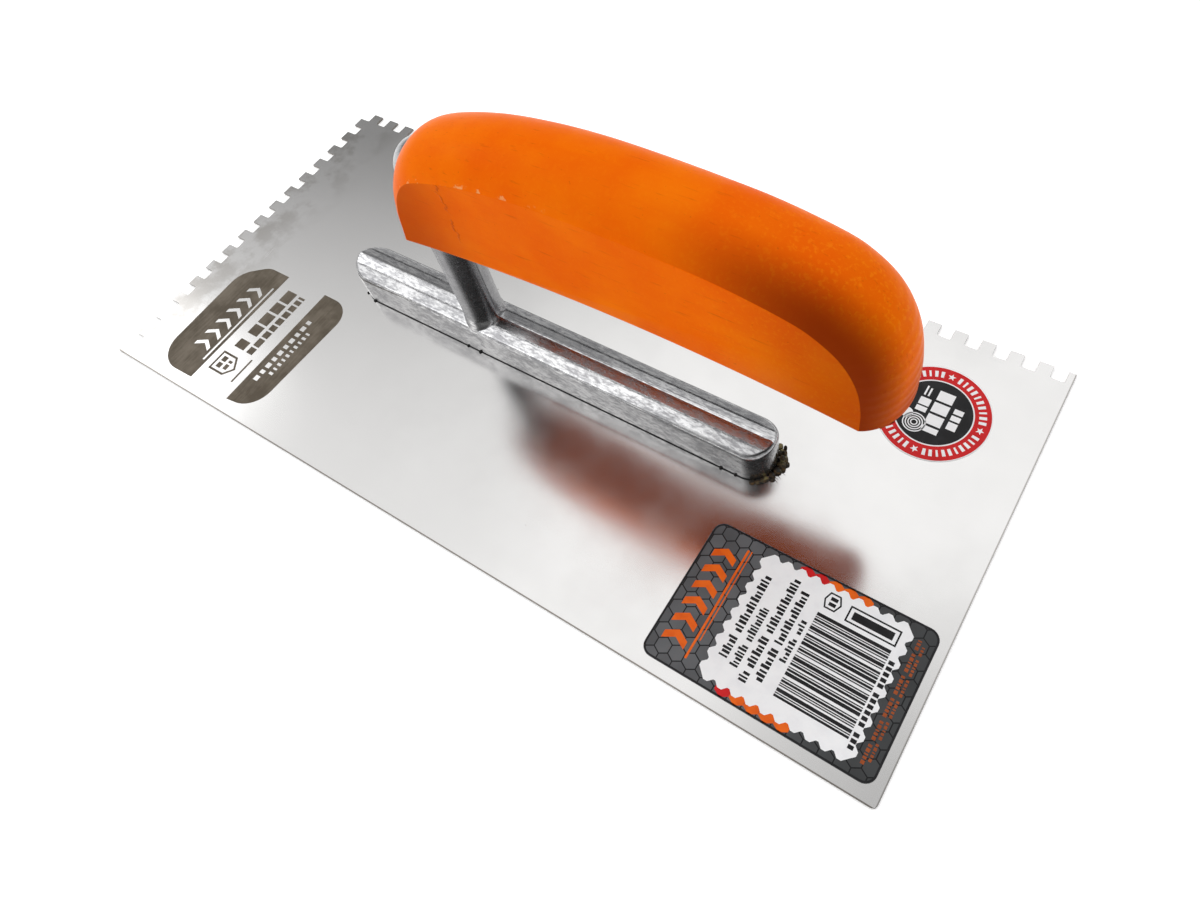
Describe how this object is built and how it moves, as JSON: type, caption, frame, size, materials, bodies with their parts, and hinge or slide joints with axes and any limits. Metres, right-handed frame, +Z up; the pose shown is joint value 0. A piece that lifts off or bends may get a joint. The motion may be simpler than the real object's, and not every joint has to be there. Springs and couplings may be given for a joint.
{
  "type": "notched trowel",
  "caption": "Notched adhesive trowel: flat stainless blade with square notches on two edges, cast aluminium foot with a post and a wooden hand grip.",
  "frame": {"origin": "middle of the blade's underside", "axes": "+X along the blade towards the handle's free tail, +Y across the blade towards the long notched edge, +Z up from the blade to the handle"},
  "size_m": [0.27, 0.128, 0.0923],
  "materials": {
    "blade_steel": "rolled bright stainless sheet with a satin mirror surface",
    "cast_aluminium": "raw die casting, mottled and lightly burnished",
    "lacquered_wood": "translucent orange lacquer, semi-gloss",
    "glue": "cured wood glue",
    "sealant": "dark crusty residue",
    "label_print": "printed film sticker, semi-gloss",
    "badge_print": "printed film sticker, semi-gloss",
    "rivet_aluminium": "peened and ground flush"
  },
  "bodies": {
    "root": {"blade": "blade_steel", "foot": "cast_aluminium", "handle": "lacquered_wood", "handle_glue": "glue", "sealant_film": "sealant", "sealant_bead": "sealant", "product_label": "label_print", "round_badge": "badge_print", "rivet_1": "rivet_aluminium", "rivet_2": "rivet_aluminium", "rivet_3": "rivet_aluminium", "rivet_4": "rivet_aluminium", "rivet_5": "rivet_aluminium", "rivet_6": "rivet_aluminium"}
  },
  "joints": []
}
